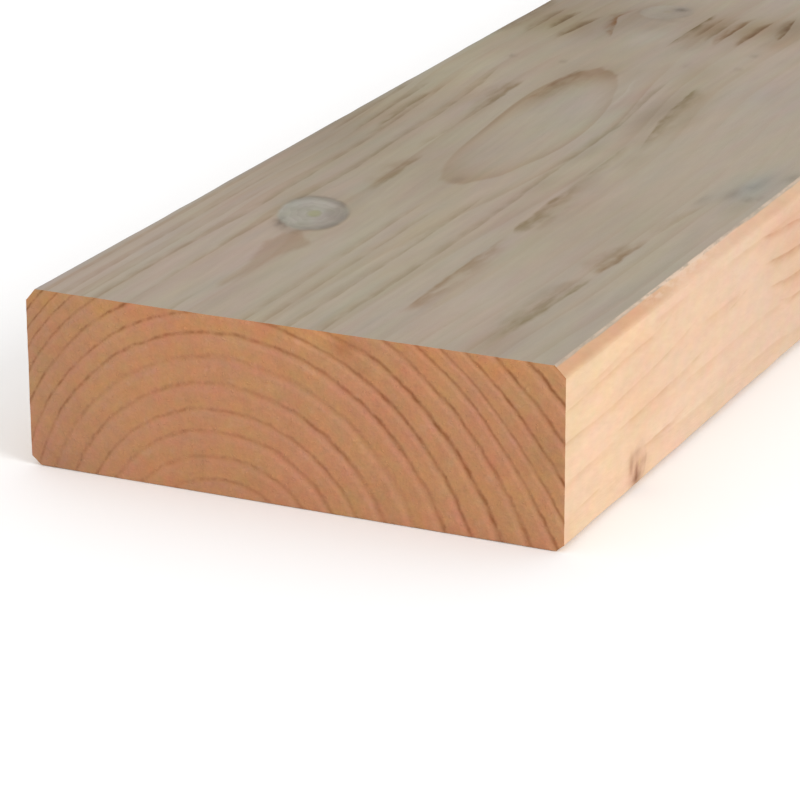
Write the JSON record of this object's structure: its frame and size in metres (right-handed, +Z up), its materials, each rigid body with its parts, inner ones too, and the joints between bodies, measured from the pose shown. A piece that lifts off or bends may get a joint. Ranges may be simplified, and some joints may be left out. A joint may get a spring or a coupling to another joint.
{
  "type": "timber plank",
  "caption": "Straight planed softwood plank of rectangular section, with eased long edges and square-sawn ends, lying flat on its wide face.",
  "frame": {"origin": "middle of the underside, the wide face that the plank lies on", "axes": "+X across the width, +Y along the grain and the length, +Z up through the thickness"},
  "size_m": [0.14, 2.4, 0.045],
  "materials": {
    "timber": "planed softwood, bare, with one wide face weathered grey-brown and sawn ends"
  },
  "bodies": {
    "root": {"plank": "timber"}
  },
  "joints": []
}
